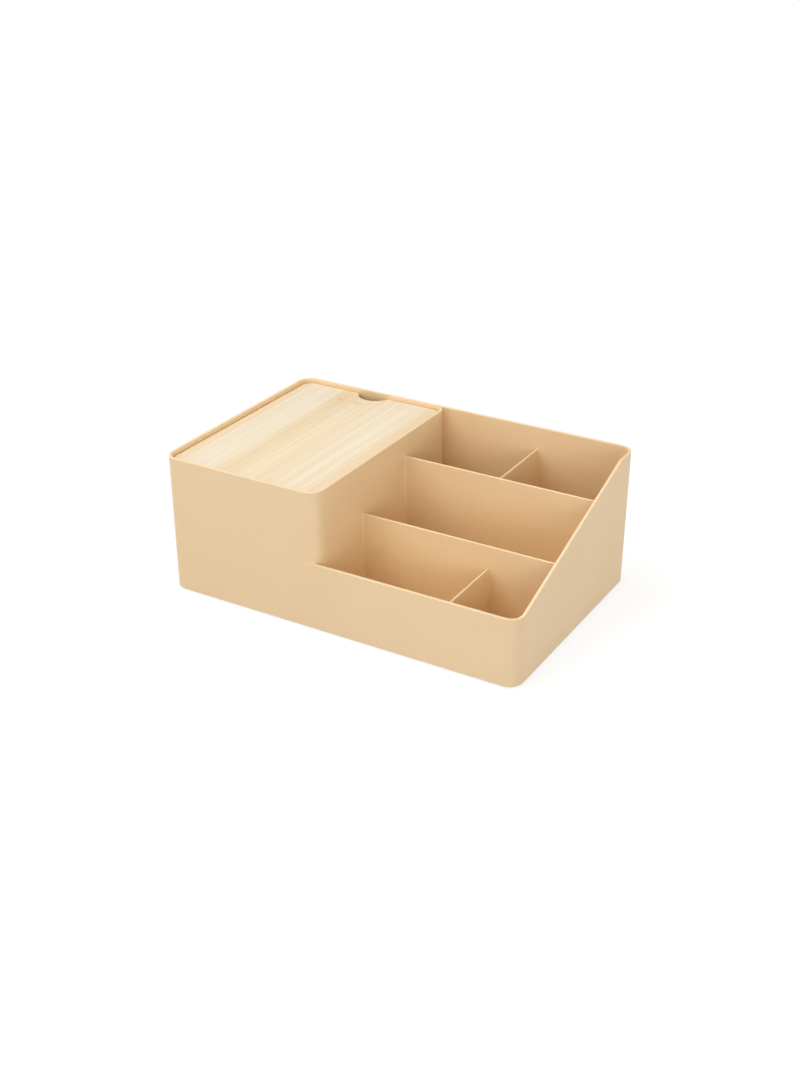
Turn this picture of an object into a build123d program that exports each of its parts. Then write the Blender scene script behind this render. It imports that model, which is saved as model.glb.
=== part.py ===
"""Desk and vanity organizer: a one-piece moulded box with a tall lidded compartment on the left,
an open tray of five cells on the right, a loose board lid glued up from bamboo strips, and four
anti-slip pads under the base.

Millimetres. X runs left to right, Y front to back, Z up. The origin is the middle of the
footprint, on the surface that the organizer stands on. Every drafted face is dimensioned at the
rim, or at the top edge of its divider, and leans from there.
"""

import os
from math import ceil, radians, tan

from build123d import *

os.makedirs("parts", exist_ok=True)

# Moulded body
length = 300.0  # left to right, at the rim
depth = 194.0  # front to back, at the rim
body_height = 111.0  # underside to rim
corner_radius = 12.0  # upright outer corners, at the rim
wall = 2.2  # walls and partition, at the rim
floor = 2.4
outer_draft = 0.4  # degrees, outside of the walls
core_draft = 0.5  # degrees, inside of every compartment
partition_draft = 1.2  # degrees, the side of the tall compartment that faces the tray
base_bevel = 0.8  # round the underside
floor_radius = 1.0  # compartment walls into their floor
inner_corner_radius = 1.2  # upright corners where dividers meet the walls and each other
rim_round = 0.45  # eased edges of the rims
divider_bevel = 0.35  # along the top edges of the dividers

# Tall compartment
tall_length = 137.0  # outside of the left wall to outside of the partition, at the rim
tall_floor_radius = 3.0

# Open tray
shoulder_height = 54.6  # top of the low front wall above the underside
slope_start = 6.0  # behind the front face, where the right wall begins to climb
slope_end = 27.0  # in front of the back face, where it reaches the rim
slope_start_radius = 10.0
slope_end_radius = 9.0
divider = 1.6  # thickness of every divider along its top
front_divider_y = 62.0  # middle of the front long divider, behind the front face
back_divider_y = 126.0
divider_drop = 2.85  # long dividers stop this far below the right wall beside them
front_cross_x = 244.5  # middle of the short divider in the front row, from the left face
back_cross_x = 218.8  # the same in the back row
cross_drop = 1.0  # short dividers stop this far below the front wall and the back divider
gusset_height = 3.0  # solid foot in the narrow gaps beside the tall compartment, above the floor
tray_root = 5.0  # how far the tray's walls and floor run on past the tall compartment's corners

# Lid
lid_recess = 3.6  # top of the lid below the rim
lid_thickness = 8.0
lid_gap = 0.6  # between the lid and the rim, all round
lid_bevel = 0.7  # arrises of the board and of its notch
strip_width = 20.5  # bamboo strips, counted from the partition; the last one is what is left
notch_radius = 14.0
notch_depth = 10.0

# Ribs that carry the lid
rib_thickness = 2.0
rib_length = 4.0  # out of the wall, with its root
rib_root = 0.4  # sunk in the wall

# Anti-slip pads
pad_diameter = 12.0
pad_thickness = 1.4
pad_pocket = 0.8  # depth of the round pockets in the underside
pad_clearance = 0.3  # round each pad
pad_inset = 17.0  # pad centre in from the outer faces
gate_diameter = 7.0  # moulding gate dimple in the middle of the underside
gate_depth = 0.5

# Levels and faces worked out from the sizes above
base_z = pad_thickness - pad_pocket
floor_z = base_z + floor
rim_z = base_z + body_height
shoulder_z = base_z + shoulder_height
lid_top_z = rim_z - lid_recess
seat_z = lid_top_z - lid_thickness
left_x = -length / 2
right_x = length / 2
front_y = -depth / 2
back_y = depth / 2
partition_x = left_x + tall_length
tall_middle_x = left_x + tall_length / 2
foot_y = front_y + slope_start
head_y = back_y - slope_end
inner_radius = corner_radius - wall
tray_start_x = partition_x - corner_radius - tray_root
overrun = 5.0  # how far cutting shapes run past what they cut
level_tolerance = 0.01  # when an edge is picked by its level


def lean(drop, draft):
    """How far a face with this draft leans sideways over this drop."""
    return drop * tan(radians(draft))


def partition_face_x(z):
    """Place of the partition's right face at this height."""
    return partition_x + lean(rim_z - z, partition_draft)


def at_level(shapes, level):
    """Those of the shapes whose middle is at this height."""
    return shapes.filter_by_position(Axis.Z, level - level_tolerance, level + level_tolerance)


def slope_z(y):
    """Height of the right wall's slope at this depth."""
    return shoulder_z + (rim_z - shoulder_z) * (y - foot_y) / (head_y - foot_y)


# The outside of the whole moulding, before anything is cut from it
with BuildPart() as outside:
    with BuildSketch(Plane.XY.offset(rim_z)):
        RectangleRounded(length, depth, corner_radius)
    extrude(amount=-body_height, taper=outer_draft)

# The space inside the tall compartment, rounded along its floor
with BuildPart() as tall_space:
    with BuildSketch(Plane.XY.offset(rim_z)):
        with Locations((tall_middle_x, 0)):
            RectangleRounded(tall_length - 2 * wall, depth - 2 * wall, inner_radius)
    extrude(amount=floor_z - rim_z, taper=core_draft)
    fillet(tall_space.faces().sort_by(Axis.Z)[0].edges(), tall_floor_radius)

# The tall compartment: the left part of the outside, with two more rounded corners at the
# partition, and that space cut out of it
with BuildPart() as tall_box:
    add(outside.part)
    with BuildSketch(Plane.XZ):
        Polygon(
            (left_x - overrun, base_z - overrun),
            (partition_face_x(base_z - overrun), base_z - overrun),
            (partition_face_x(rim_z + overrun), rim_z + overrun),
            (left_x - overrun, rim_z + overrun),
            align=None,
        )
    extrude(amount=depth, both=True, mode=Mode.INTERSECT)
    partition_edges = tall_box.faces().sort_by(Axis.X)[-1].edges().sort_by(Axis.Y)
    fillet([partition_edges[0], partition_edges[-1]], corner_radius)
    # its outer rim, eased all round from one edge
    fillet(at_level(tall_box.edges(), rim_z).sort_by(Axis.X)[-1], rim_round)
    # square foot that closes the narrow gaps beside those corners, just above the tray floor
    with BuildSketch(Plane.XZ):
        Polygon(
            (partition_x - corner_radius, base_z),
            (partition_face_x(base_z), base_z),
            (partition_face_x(floor_z + gusset_height), floor_z + gusset_height),
            (partition_x - corner_radius, floor_z + gusset_height),
            align=None,
        )
    extrude(amount=(depth - wall) / 2, both=True)
    add(tall_space.part, mode=Mode.SUBTRACT)
    side_edges = at_level(tall_box.edges(), rim_z).filter_by(Axis.Y).sort_by(Axis.X)
    fillet(side_edges[1], rim_round)

# The tray: level along the front and up the right wall's slope. Its walls and floor run on a little
# way into those of the tall compartment.
with BuildPart() as tray:
    add(outside.part)
    with BuildSketch(Plane.YZ.offset(left_x - overrun)) as side_profile:
        Polygon(
            (front_y - overrun, shoulder_z),
            (foot_y, shoulder_z),
            (head_y, rim_z),
            (back_y - corner_radius, rim_z),
            (back_y - corner_radius, rim_z + overrun),
            (front_y - overrun, rim_z + overrun),
            align=None,
        )
        fillet(side_profile.vertices().sort_by_distance((foot_y, shoulder_z))[0], slope_start_radius)
        fillet(side_profile.vertices().sort_by_distance((head_y, rim_z))[0], slope_end_radius)
    extrude(amount=length + 2 * overrun, mode=Mode.SUBTRACT)
    with BuildSketch(Plane.XZ):
        Polygon(
            (tray_start_x, base_z - overrun),
            (right_x + overrun, base_z - overrun),
            (right_x + overrun, rim_z + overrun),
            (tray_start_x, rim_z + overrun),
            align=None,
        )
    extrude(amount=depth, both=True, mode=Mode.INTERSECT)
    with BuildSketch(Plane.XY.offset(rim_z)):
        RectangleRounded(length - 2 * wall, depth - 2 * wall, inner_radius)
    extrude(amount=floor_z - rim_z, taper=core_draft, mode=Mode.SUBTRACT)
    # Ease the rim inside and outside. Each starts from its edge at the back and runs on through
    # every edge that follows smoothly, down the slope and along the low front wall.
    back_edges = at_level(tray.edges(), rim_z).filter_by(Axis.X).sort_by(Axis.Y)
    fillet(back_edges[-2], rim_round)
    back_edges = at_level(tray.edges(), rim_z).filter_by(Axis.X).sort_by(Axis.Y)
    fillet(back_edges[-1], rim_round)


def plate_section(middle, top_z, bottom_z):
    """Corners of a divider's section: bevelled along its top, leaning out both ways downwards."""
    half_top = divider / 2
    bevel_z = top_z - divider_bevel
    half_bottom = half_top + lean(bevel_z - bottom_z, core_draft)
    return [
        (middle - half_bottom, bottom_z),
        (middle - half_top, bevel_z),
        (middle - half_top + divider_bevel, top_z),
        (middle + half_top - divider_bevel, top_z),
        (middle + half_top, bevel_z),
        (middle + half_bottom, bottom_z),
    ]


# The dividers, each sunk half a wall deep into what it joins
front_divider_mid = front_y + front_divider_y
back_divider_mid = front_y + back_divider_y
front_divider_z = slope_z(front_divider_mid) - divider_drop
back_divider_z = slope_z(back_divider_mid) - divider_drop
front_cross_z = shoulder_z - cross_drop
back_cross_z = back_divider_z - cross_drop
divider_tops = (front_cross_z, front_divider_z, back_cross_z, back_divider_z)
root_z = floor_z - floor / 2
with BuildPart() as dividers:
    with BuildSketch(Plane.YZ.offset(partition_x - wall / 2)):
        Polygon(*plate_section(front_divider_mid, front_divider_z, root_z), align=None)
        Polygon(*plate_section(back_divider_mid, back_divider_z, root_z), align=None)
    extrude(amount=right_x - partition_x)
    with BuildSketch(Plane.XZ.offset(-front_divider_mid)):
        Polygon(*plate_section(left_x + front_cross_x, front_cross_z, root_z), align=None)
    extrude(amount=front_divider_y - wall / 2)
    with BuildSketch(Plane.XZ.offset(-back_divider_mid)):
        Polygon(*plate_section(left_x + back_cross_x, back_cross_z, root_z), align=None)
    extrude(amount=-(depth - back_divider_y - wall / 2))


def runs_from_floor_to_divider_top(edge):
    """Whether an edge stands on the tray floor and ends at the top or the bevel of a divider."""
    lowest = edge.bounding_box().min.Z
    highest = edge.bounding_box().max.Z
    to_nearest_top = min(abs(highest - top) for top in divider_tops)
    return abs(lowest - floor_z) < level_tolerance and to_nearest_top < divider_bevel + level_tolerance


# The body, all in one moulding
with BuildPart() as body:
    add(tray.part)
    add(tall_box.part)
    add(dividers.part)
    fillet(body.edges().filter_by(runs_from_floor_to_divider_top), inner_corner_radius)
    floor_edges = at_level(body.edges(), floor_z)
    fillet(floor_edges.filter_by(lambda edge: edge.center().X > partition_x), floor_radius)
    chamfer(body.faces().sort_by(Axis.Z)[0].edges(), base_bevel)
    # ribs down the inside of the tall compartment, two on each wall, which carry the lid
    with BuildSketch(Plane.XY.offset(seat_z)):
        for side in (-1, 1):
            side_x = tall_middle_x + side * (tall_length / 2 - wall + rib_root - rib_length / 2)
            with Locations((side_x, -depth / 4), (side_x, depth / 4)):
                Rectangle(rib_length, rib_thickness)
            side_y = side * (depth / 2 - wall + rib_root - rib_length / 2)
            with Locations((tall_middle_x - tall_length / 4, side_y),
                           (tall_middle_x + tall_length / 4, side_y)):
                Rectangle(rib_thickness, rib_length)
    extrude(amount=floor_z - seat_z, taper=-core_draft)
    # round pockets for the pads, and the gate dimple, in the underside
    with BuildSketch(Plane.XY.offset(base_z)):
        with GridLocations(length - 2 * pad_inset, depth - 2 * pad_inset, 2, 2):
            Circle(pad_diameter / 2 + pad_clearance)
    extrude(amount=pad_pocket, mode=Mode.SUBTRACT)
    with BuildSketch(Plane.XY.offset(base_z)):
        Circle(gate_diameter / 2)
    extrude(amount=gate_depth, mode=Mode.SUBTRACT)
body.part.label = "organizer_body"
export_step(body.part, "parts/organizer_body.step")

# The lid as one board, with its finger notch in the back edge
lid_length = tall_length - 2 * (wall + lid_gap)
lid_depth = depth - 2 * (wall + lid_gap)
notch_y = lid_depth / 2 + notch_radius - notch_depth
with BuildPart() as board:
    with BuildSketch(Plane.XY.offset(seat_z)):
        with Locations((tall_middle_x, 0)):
            RectangleRounded(lid_length, lid_depth, inner_radius - lid_gap)
        with Locations((tall_middle_x, notch_y)):
            Circle(notch_radius, mode=Mode.SUBTRACT)
    extrude(amount=lid_thickness)
    top_and_bottom = board.faces().filter_by(Axis.Z)
    chamfer(top_and_bottom.edges(), lid_bevel)

# The strips that the board is glued up from, numbered from the left
strip_count = ceil(lid_length / strip_width)
lid_right_x = tall_middle_x + lid_length / 2
for number in range(1, strip_count + 1):
    strip_right_x = lid_right_x - (strip_count - number) * strip_width
    with BuildPart() as strip:
        add(board.part)
        with BuildSketch(Plane.XY.offset(seat_z)):
            with Locations((strip_right_x - strip_width / 2, 0)):
                Rectangle(strip_width, 2 * depth)
        extrude(amount=lid_thickness, mode=Mode.INTERSECT)
    strip.part.label = f"lid_strip_{number}"
    export_step(strip.part, f"parts/lid_strip_{number}.step")

# Anti-slip pads, die-cut discs stuck into their pockets
for row, side_y in (("front", -1), ("back", 1)):
    for end, side_x in (("left", -1), ("right", 1)):
        pad_x = side_x * (length / 2 - pad_inset)
        pad_y = side_y * (depth / 2 - pad_inset)
        with BuildPart() as pad:
            with BuildSketch(Plane.XY):
                with Locations((pad_x, pad_y)):
                    Circle(pad_diameter / 2)
            extrude(amount=pad_thickness)
        pad.part.label = f"pad_{row}_{end}"
        export_step(pad.part, f"parts/pad_{row}_{end}.step")
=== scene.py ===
"""A makeup organizer: a moulded box in sand-coloured plastic with a loose bamboo lid over its tall
compartment, an open tray of five cells beside it, and four anti-slip pads underneath."""

import math

import bpy
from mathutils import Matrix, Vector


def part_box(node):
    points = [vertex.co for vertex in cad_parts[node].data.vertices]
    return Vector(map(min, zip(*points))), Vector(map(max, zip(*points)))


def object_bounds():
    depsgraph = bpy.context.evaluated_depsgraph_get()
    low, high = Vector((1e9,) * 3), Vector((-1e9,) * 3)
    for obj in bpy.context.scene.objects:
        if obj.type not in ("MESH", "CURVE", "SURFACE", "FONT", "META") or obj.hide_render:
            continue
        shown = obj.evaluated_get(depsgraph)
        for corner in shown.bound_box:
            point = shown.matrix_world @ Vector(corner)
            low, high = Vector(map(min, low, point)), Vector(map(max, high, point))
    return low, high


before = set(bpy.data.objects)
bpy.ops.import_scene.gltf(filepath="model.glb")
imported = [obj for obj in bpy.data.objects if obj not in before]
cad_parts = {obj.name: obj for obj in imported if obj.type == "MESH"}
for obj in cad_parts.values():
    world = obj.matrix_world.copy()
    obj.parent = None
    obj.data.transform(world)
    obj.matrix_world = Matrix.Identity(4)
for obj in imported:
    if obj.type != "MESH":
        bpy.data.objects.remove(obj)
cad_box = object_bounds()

# Moulded box. One injection moulding in matt polypropylene, warm sand in colour: walls, floor,
# partition, dividers and lid ribs are all one piece. The steel of the mould was spark-eroded, which
# leaves a very fine even grain, and the melt leaves the faintest cloudiness in tone and sheen.


class Wire:
    """A socket of some nodes. Arithmetic on it adds the Math nodes that work it out."""

    def __init__(self, socket):
        self.socket = socket

    def math(self, operation, first, second):
        """A Math node on two values, each a wire or a number."""
        node = self.socket.id_data.nodes.new("ShaderNodeMath")
        node.operation = operation
        for entry, value in zip(node.inputs, (first, second)):
            plug(value, entry)
        return Wire(node.outputs[0])

    def __add__(self, other):
        return self.math("ADD", self, other)

    def __sub__(self, other):
        return self.math("SUBTRACT", self, other)

    def __mul__(self, other):
        return self.math("MULTIPLY", self, other)

    def __radd__(self, other):
        return self.math("ADD", other, self)

    def __rsub__(self, other):
        return self.math("SUBTRACT", other, self)

    def __rmul__(self, other):
        return self.math("MULTIPLY", other, self)

    def __abs__(self):
        return self.math("ABSOLUTE", self, 0.0)


def plug(value, entry):
    """Links a wire to a socket's entry, or sets the entry to a plain value."""
    if isinstance(value, Wire):
        entry.id_data.links.new(value.socket, entry)
    else:
        entry.default_value = value


class Nodes:
    """The nodes of a material, or of the room around the organizer."""

    def __init__(self, tree):
        self.tree = tree

    def node(self, kind, settings=None, inputs=None, output=0):
        """Adds a node, makes its settings, fills its sockets and gives one of its outputs."""
        made = self.tree.nodes.new(f"ShaderNode{kind}")
        for key, value in (settings or {}).items():
            setattr(made, key, value)
        for key, value in (inputs or {}).items():
            plug(value, made.inputs[key])
        return Wire(made.outputs[output])


class Finish(Nodes):
    """A node material with one Principled shader, filled in by the section that makes it."""

    def __init__(self, name):
        self.material = bpy.data.materials.new(name)
        self.material.use_nodes = True
        super().__init__(self.material.node_tree)
        self.shader = self.tree.nodes["Principled BSDF"]

    def noise(self, place, scale, detail=2.0):
        """Soft random values about 0.5, over places in metres."""
        return self.node("TexNoise", inputs={"Vector": place, "Scale": scale, "Detail": detail})

    def mixed(self, factor, first, second):
        """One colour laid over another."""
        factor_entry, first_entry, second_entry, colour_output = 0, 6, 7, 2
        return self.node("Mix", {"data_type": "RGBA"},
                         {factor_entry: factor, first_entry: first, second_entry: second},
                         output=colour_output)

    def between(self, value, low, high):
        """0 below low, 1 above high, and a smooth climb between them."""
        return self.node("MapRange", {"interpolation_type": "SMOOTHSTEP"},
                         {"Value": value, "From Min": low, "From Max": high})

    def bumped(self, height, distance):
        """A surface normal that follows a height, in metres at full height."""
        return self.node("Bump", inputs={"Height": height, "Distance": distance, "Strength": 1.0})

    def dress(self, *names):
        """Puts the material on CAD nodes."""
        for name in names:
            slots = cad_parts[name].material_slots
            for slot in slots:
                slot.material = self.material
            if not slots:
                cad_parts[name].data.materials.append(self.material)


sand = (0.800, 0.573, 0.314, 1.0)
sand_pale = (0.816, 0.590, 0.330, 1.0)
clouds_per_metre = 14.0
cloud_low, cloud_high = 0.35, 0.65  # noise at which the plastic is sand, and pale sand
grain_per_metre = 1500.0
grain_height = 0.00003
plastic_roughness = 0.46  # without the clouds and the grain, which add to it
cloud_roughness, grain_roughness = 0.08, 0.05
plastic_ior = 2.0
plastic = Finish("moulded_sand_plastic")
place = plastic.node("TexCoord", output="Object")
cloud = plastic.noise(place, clouds_per_metre, detail=3.0)
grain = plastic.noise(place, grain_per_metre)
plug(plastic.mixed(plastic.between(cloud, cloud_low, cloud_high), sand, sand_pale),
     plastic.shader.inputs["Base Color"])
plug(plastic_roughness + cloud_roughness * cloud + grain_roughness * grain,
     plastic.shader.inputs["Roughness"])
plug(plastic.bumped(grain, grain_height), plastic.shader.inputs["Normal"])
plastic.shader.inputs["IOR"].default_value = plastic_ior
plastic.dress("organizer_body")

# Bamboo lid. A board of seven strips glued edge to edge, planed and sanded, with a thin clear oil.
# The grain runs from front to back. Each strip is laid up from two slats of cane, each with its own
# tone, and the joints of two canes fall within the board and cross its third and fourth strips. The
# first strip, at the left edge beside the rim, has warmer and darker slats: painted shade and warm
# bounce light from the rim's inner wall, strongest at the edge.
slat_tones_and_painted_edge_shade = {  # middle tone of the left and the right slat of each strip
    # painted shade and warm bounce light from the rim, strongest in the left slat at the lid's edge
    "lid_strip_1": ((0.797, 0.612, 0.380), (0.785, 0.630, 0.430)),
    "lid_strip_2": ((0.792, 0.680, 0.510), (0.790, 0.675, 0.502)),
    "lid_strip_3": ((0.788, 0.673, 0.495), (0.772, 0.608, 0.388)),
    "lid_strip_4": ((0.772, 0.606, 0.388), (0.800, 0.650, 0.440)),
    "lid_strip_5": ((0.800, 0.650, 0.442), (0.802, 0.658, 0.455)),
    "lid_strip_6": ((0.812, 0.685, 0.500), (0.812, 0.680, 0.490)),
    "lid_strip_7": ((0.826, 0.684, 0.490), (0.820, 0.650, 0.432)),
}
pale_wood = (1.03, 1.07, 1.12)  # soft wood between the fibres, against the middle tone
dark_wood = (0.96, 0.915, 0.85)  # hard wood at the fibres, the same way
# figure of the wood: changes in a metre across, along and through the board, and shares of each
band_scale, band_share = (110.0, 1.5, 110.0), 0.27
streak_scale, streak_share = (420.0, 5.0, 160.0), 0.43
fibre_scale, fibre_share = (1500.0, 22.0, 700.0), 0.30
darkest, palest = 0.37, 0.63  # figure at which the wood is dark, and pale
shift_across, shift_along = 0.37, 0.61  # of the figure, in each strip against the one before
# dark marks, each as a share of sap laid over the wood
sap = (0.550, 0.340, 0.170, 1.0)
thread_scale = (900.0, 8.0, 900.0)
thread_core, thread_edge = 0.08, 0.30  # in cells of the threads' pattern
thread_sap, end_sap, end_thread_sap = 0.16, 0.22, 0.30
end_from, end_full = 0.5, 0.9  # how squarely a face looks along the grain
seam_blur = 0.0004  # half the width over which the tone of a slat turns into the next
glue_width = 0.00025
slat_glue_sap, strip_glue_sap = 0.12, 0.08
joints = {  # places of the cane joints, across and along the board
    "lid_strip_3": (-0.1010, 0.0748),
    "lid_strip_4": (-0.0845, 0.0740),
}
joint_half_width, joint_blur_width = 0.0020, 0.0055
joint_half_length, joint_blur_length = 0.0004, 0.0026
patch_length = 0.030
fleck_scale = (420.0, 330.0, 300.0)
fleck_low, fleck_high = 0.42, 0.58
joint_sap, fleck_sap, patch_sap = 0.12, 0.46, 0.07
# oiled surface
oil_roughness, fibre_roughness = 0.42, 0.16
fibre_height, thread_depth = 0.00004, 0.5


def shaded(tone, factors):
    """A tone with each channel scaled, as a shader colour."""
    return (*(channel * factor for channel, factor in zip(tone, factors)), 1.0)


def part(bamboo, place, axis):
    """One coordinate of a place."""
    return bamboo.node("SeparateXYZ", inputs={0: place}, output="XYZ".index(axis))


def stretched(bamboo, place, scale, shift):
    """Places scaled differently along each axis, and shifted so that no two strips look alike."""
    return bamboo.node("Mapping", {"vector_type": "POINT"},
                       {"Vector": place, "Scale": scale, "Location": shift})


for number, (name, (left_tone, right_tone)) in enumerate(slat_tones_and_painted_edge_shade.items(), start=1):
    low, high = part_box(name)
    seam_x = (low[0] + high[0]) / 2
    bamboo = Finish(f"bamboo_{number}")
    place = bamboo.node("TexCoord", output="Object")
    across, along = part(bamboo, place, "X"), part(bamboo, place, "Y")
    shift = (shift_across * number, shift_along * number, 0.0)
    # broad bands, streaks and fibres, which go pale and dark about each slat's tone
    bands = bamboo.noise(stretched(bamboo, place, band_scale, shift), 1.0)
    streaks = bamboo.noise(stretched(bamboo, place, streak_scale, shift), 1.0, detail=4.0)
    fibres = bamboo.noise(stretched(bamboo, place, fibre_scale, shift), 1.0)
    figure = bamboo.between(
        band_share * bands + streak_share * streaks + fibre_share * fibres, darkest, palest)
    # each slat's tone; in the first strip this tone is painted shade and warm bounce light from the
    # rim
    colour = bamboo.mixed(
        bamboo.between(across, seam_x - seam_blur, seam_x + seam_blur),
        bamboo.mixed(figure, shaded(left_tone, dark_wood), shaded(left_tone, pale_wood)),
        bamboo.mixed(figure, shaded(right_tone, dark_wood), shaded(right_tone, pale_wood)))
    # dark threads of the cane: lines along the grain, and dots on the ends
    threads = bamboo.node("TexVoronoi", inputs={
        "Vector": stretched(bamboo, place, thread_scale, shift), "Scale": 1.0})
    thread = 1.0 - bamboo.between(threads, thread_core, thread_edge)
    facing = bamboo.node("TexCoord", output="Normal")
    end = bamboo.between(abs(part(bamboo, facing, "Y")), end_from, end_full)
    colour = bamboo.mixed(
        thread_sap * thread + end_sap * end + end_thread_sap * end * thread, colour, sap)
    # glue between the two slats of a strip, and between a strip and the next
    if number > 1:
        glue = 1.0 - bamboo.between(abs(across - seam_x), glue_width, 2 * glue_width)
        colour = bamboo.mixed(slat_glue_sap * glue, colour, sap)
    if number < len(slat_tones_and_painted_edge_shade):
        glue = bamboo.between(across, high[0] - 2 * glue_width, high[0] - glue_width)
        colour = bamboo.mixed(strip_glue_sap * glue, colour, sap)
    # a joint of the cane: a short flecked mark across the grain, in a faint darker patch
    if name in joints:
        joint_x, joint_y = joints[name]
        beside, away = abs(across - joint_x), abs(along - joint_y)
        flecks = bamboo.noise(stretched(bamboo, place, fleck_scale, shift), 1.0, detail=3.0)
        mark = (1.0 - bamboo.between(beside, joint_half_width, joint_blur_width)) * (
            1.0 - bamboo.between(away, joint_half_length, joint_blur_length))
        patch = 1.0 - bamboo.between(away, 0.0, patch_length)
        fleck = bamboo.between(flecks, fleck_low, fleck_high)
        colour = bamboo.mixed(
            joint_sap * mark + fleck_sap * mark * fleck + patch_sap * patch, colour, sap)
    plug(colour, bamboo.shader.inputs["Base Color"])
    plug(oil_roughness + fibre_roughness * fibres, bamboo.shader.inputs["Roughness"])
    plug(bamboo.bumped(fibres - thread_depth * thread, fibre_height),
         bamboo.shader.inputs["Normal"])
    bamboo.dress(name)

# Anti-slip pads. Discs die-cut from soft translucent rubber sheet, stuck into round pockets in the
# underside. The cut edge is dull, and the sheet has a faint bloom.
rubber_grey = (0.42, 0.40, 0.36, 1.0)
bloom_grey = (0.52, 0.50, 0.46, 1.0)
blooms_per_metre = 400.0
bloom_height = 0.00005
rubber_roughness, bloom_roughness = 0.55, 0.2
rubber = Finish("pad_rubber")
bloom = rubber.noise(rubber.node("TexCoord", output="Object"), blooms_per_metre, detail=3.0)
plug(rubber.mixed(bloom, rubber_grey, bloom_grey), rubber.shader.inputs["Base Color"])
plug(rubber_roughness + bloom_roughness * bloom, rubber.shader.inputs["Roughness"])
plug(rubber.bumped(bloom, bloom_height), rubber.shader.inputs["Normal"])
rubber.dress(*(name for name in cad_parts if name.startswith("pad_")))

# Floor. A plain white sheet that runs out past the view on every side. The camera sees it as the
# white of a studio sweep, a little darker where the organizer keeps the light off it.
floor_size = 40.0
floor_drop = 0.0002  # a hair below the pads
room_grey = (0.45, 0.45, 0.45, 1.0)  # what the floor throws back on the organizer
shadow_grey = (0.26, 0.26, 0.26, 1.0)  # what the camera sees of the light on it, for the shadow
near_white = (0.79, 0.79, 0.79, 1.0)  # its own white beside the organizer, and away from it
far_white = (1.0, 1.0, 1.0, 1.0)
near, far = 0.25, 1.4


def in_view(nodes):
    """1 on the camera's rays, also past gloss or through glass, and 0 on the rays that light."""
    seen, mirrored, passed = (nodes.node("LightPath", output=f"Is {kind} Ray")
                              for kind in ("Camera", "Glossy", "Transmission"))
    return seen.math("MAXIMUM", seen.math("MAXIMUM", seen, mirrored), passed)


bpy.ops.mesh.primitive_plane_add(size=floor_size, location=(0.0, 0.0, cad_box[0][2] - floor_drop))
floor = bpy.context.object
floor.name = "studio_floor"
sweep = Finish("studio_white")
matt = sweep.node("BsdfDiffuse", inputs={"Color": room_grey})
faint = sweep.node("BsdfDiffuse", inputs={"Color": shadow_grey})
distance = sweep.node("VectorMath", {"operation": "LENGTH"},
                      {0: sweep.node("TexCoord", output="Object")}, output="Value")
glow = sweep.node("Emission", inputs={
    "Color": sweep.mixed(sweep.between(distance, near, far), near_white, far_white),
    "Strength": 1.0})
lit = sweep.node("AddShader", inputs={0: faint, 1: glow})
plug(sweep.node("MixShader", inputs={0: in_view(sweep), 1: matt, 2: lit}),
     sweep.tree.nodes["Material Output"].inputs["Surface"])
floor.data.materials.append(sweep.material)

# Studio light. An even white room, one wide soft lamp overhead and a little to the left, and five
# weaker ones low down all round. The room is pure white where the camera sees it, directly or in a
# reflection.
room_light = 0.18  # strength of the room's own light on the organizer
aim = (0.0, 0.0, 0.05)
lamps = {  # place and size in metres, and power in watts
    "overhead": ((-0.32, -0.20, 1.20), 1.3, 14.6),
    "front_left": ((-0.40, -1.30, 0.50), 0.8, 4.5),
    "front_right": ((1.10, -1.00, 0.28), 1.0, 10.3),
    "back_right": ((1.02, 0.72, 0.20), 0.8, 5.0),
    "left": ((-1.40, -0.05, 0.12), 0.5, 4.0),
    "back": ((0.15, 1.40, 0.12), 0.5, 4.5),
}
world = bpy.data.worlds.new("studio_room")
bpy.context.scene.world = world
world.use_nodes = True
room = Nodes(world.node_tree)
background = room.tree.nodes["Background"]
background.inputs["Color"].default_value = (1.0, 1.0, 1.0, 1.0)
plug(room_light + (1.0 - room_light) * in_view(room), background.inputs["Strength"])
for name, (stand, size, power) in lamps.items():
    lamp = bpy.data.lights.new(name, "AREA")
    lamp.size = size
    lamp.energy = power
    holder = bpy.data.objects.new(name, lamp)
    bpy.context.collection.objects.link(holder)
    holder.location = stand
    run_x, run_y, run_z = (target - start for target, start in zip(aim, stand))
    holder.rotation_euler = (
        math.atan2(math.hypot(run_x, run_y), -run_z), 0.0, math.atan2(-run_x, run_y))

# Camera. As the photograph was taken: from the front right, a little above the organizer.
lens = 50.603
viewpoint = (0.5239, -0.8918, 0.5655)
tilt, turn = 63.199, 30.458  # degrees up from straight down, and round from the front
view = bpy.data.cameras.new("camera")
view.lens = lens
camera = bpy.data.objects.new("camera", view)
bpy.context.collection.objects.link(camera)
camera.location = viewpoint
camera.rotation_euler = (math.radians(tilt), 0.0, math.radians(turn))
bpy.context.scene.camera = camera
bpy.context.scene.view_settings.view_transform = "Standard"
